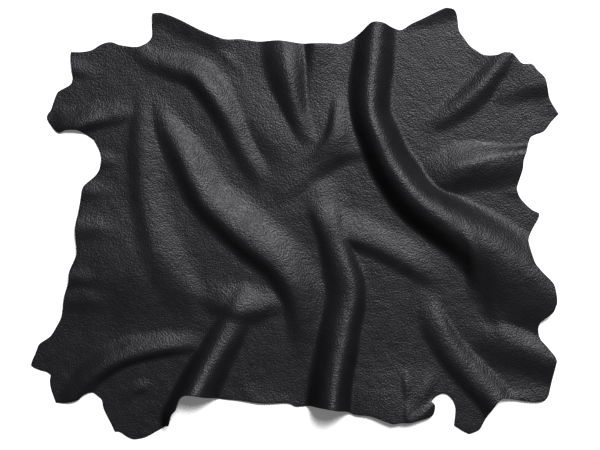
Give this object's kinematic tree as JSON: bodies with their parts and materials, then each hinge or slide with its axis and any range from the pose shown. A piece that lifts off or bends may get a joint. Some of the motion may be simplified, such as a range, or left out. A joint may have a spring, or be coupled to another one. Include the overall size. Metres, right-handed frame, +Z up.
{
  "type": "leather hide",
  "caption": "Small soft leather hide with a lobed natural outline, lying grain side up in loose folds and pinched ridges on a level surface.",
  "frame": {"origin": "on the surface the hide lies on, under the middle of its bounding box", "axes": "+Z up from the surface, +X along the hide's longer side, +Y along its shorter side, away from the two feet at the near edge"},
  "size_m": [0.8601, 0.7027, 0.047],
  "materials": {
    "leather": "soft satin black, fine pebbled grain on top, matt dark suede underneath"
  },
  "bodies": {
    "root": {"hide": "leather"}
  },
  "joints": []
}
